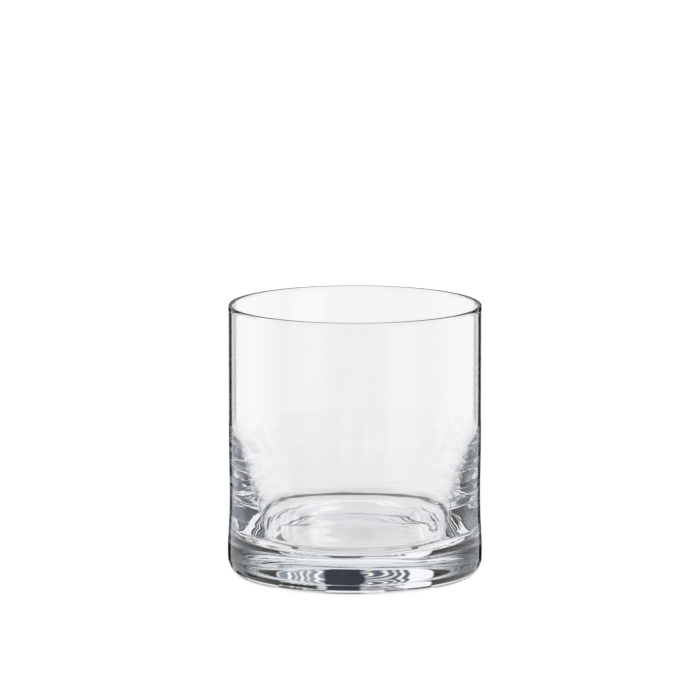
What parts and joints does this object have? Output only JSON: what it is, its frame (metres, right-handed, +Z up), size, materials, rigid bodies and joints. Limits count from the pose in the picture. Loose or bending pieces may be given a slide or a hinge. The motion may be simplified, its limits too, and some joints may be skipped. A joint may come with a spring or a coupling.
{
  "type": "whiskey tumbler",
  "caption": "Clear straight-sided glass tumbler with a thin rim, a thick rounded foot and an open bowl.",
  "frame": {"origin": "centre of the foot, on the surface that the glass stands on", "axes": "+Z up along the glass's axis of turning, towards the rim; X and Y are any two level directions"},
  "size_m": [0.0876, 0.0876, 0.094],
  "materials": {
    "clear_glass": "clear, fire-polished, colourless with a very faint cool grey tint in the thick foot"
  },
  "bodies": {
    "root": {"tumbler_glass": "clear_glass"}
  },
  "joints": []
}
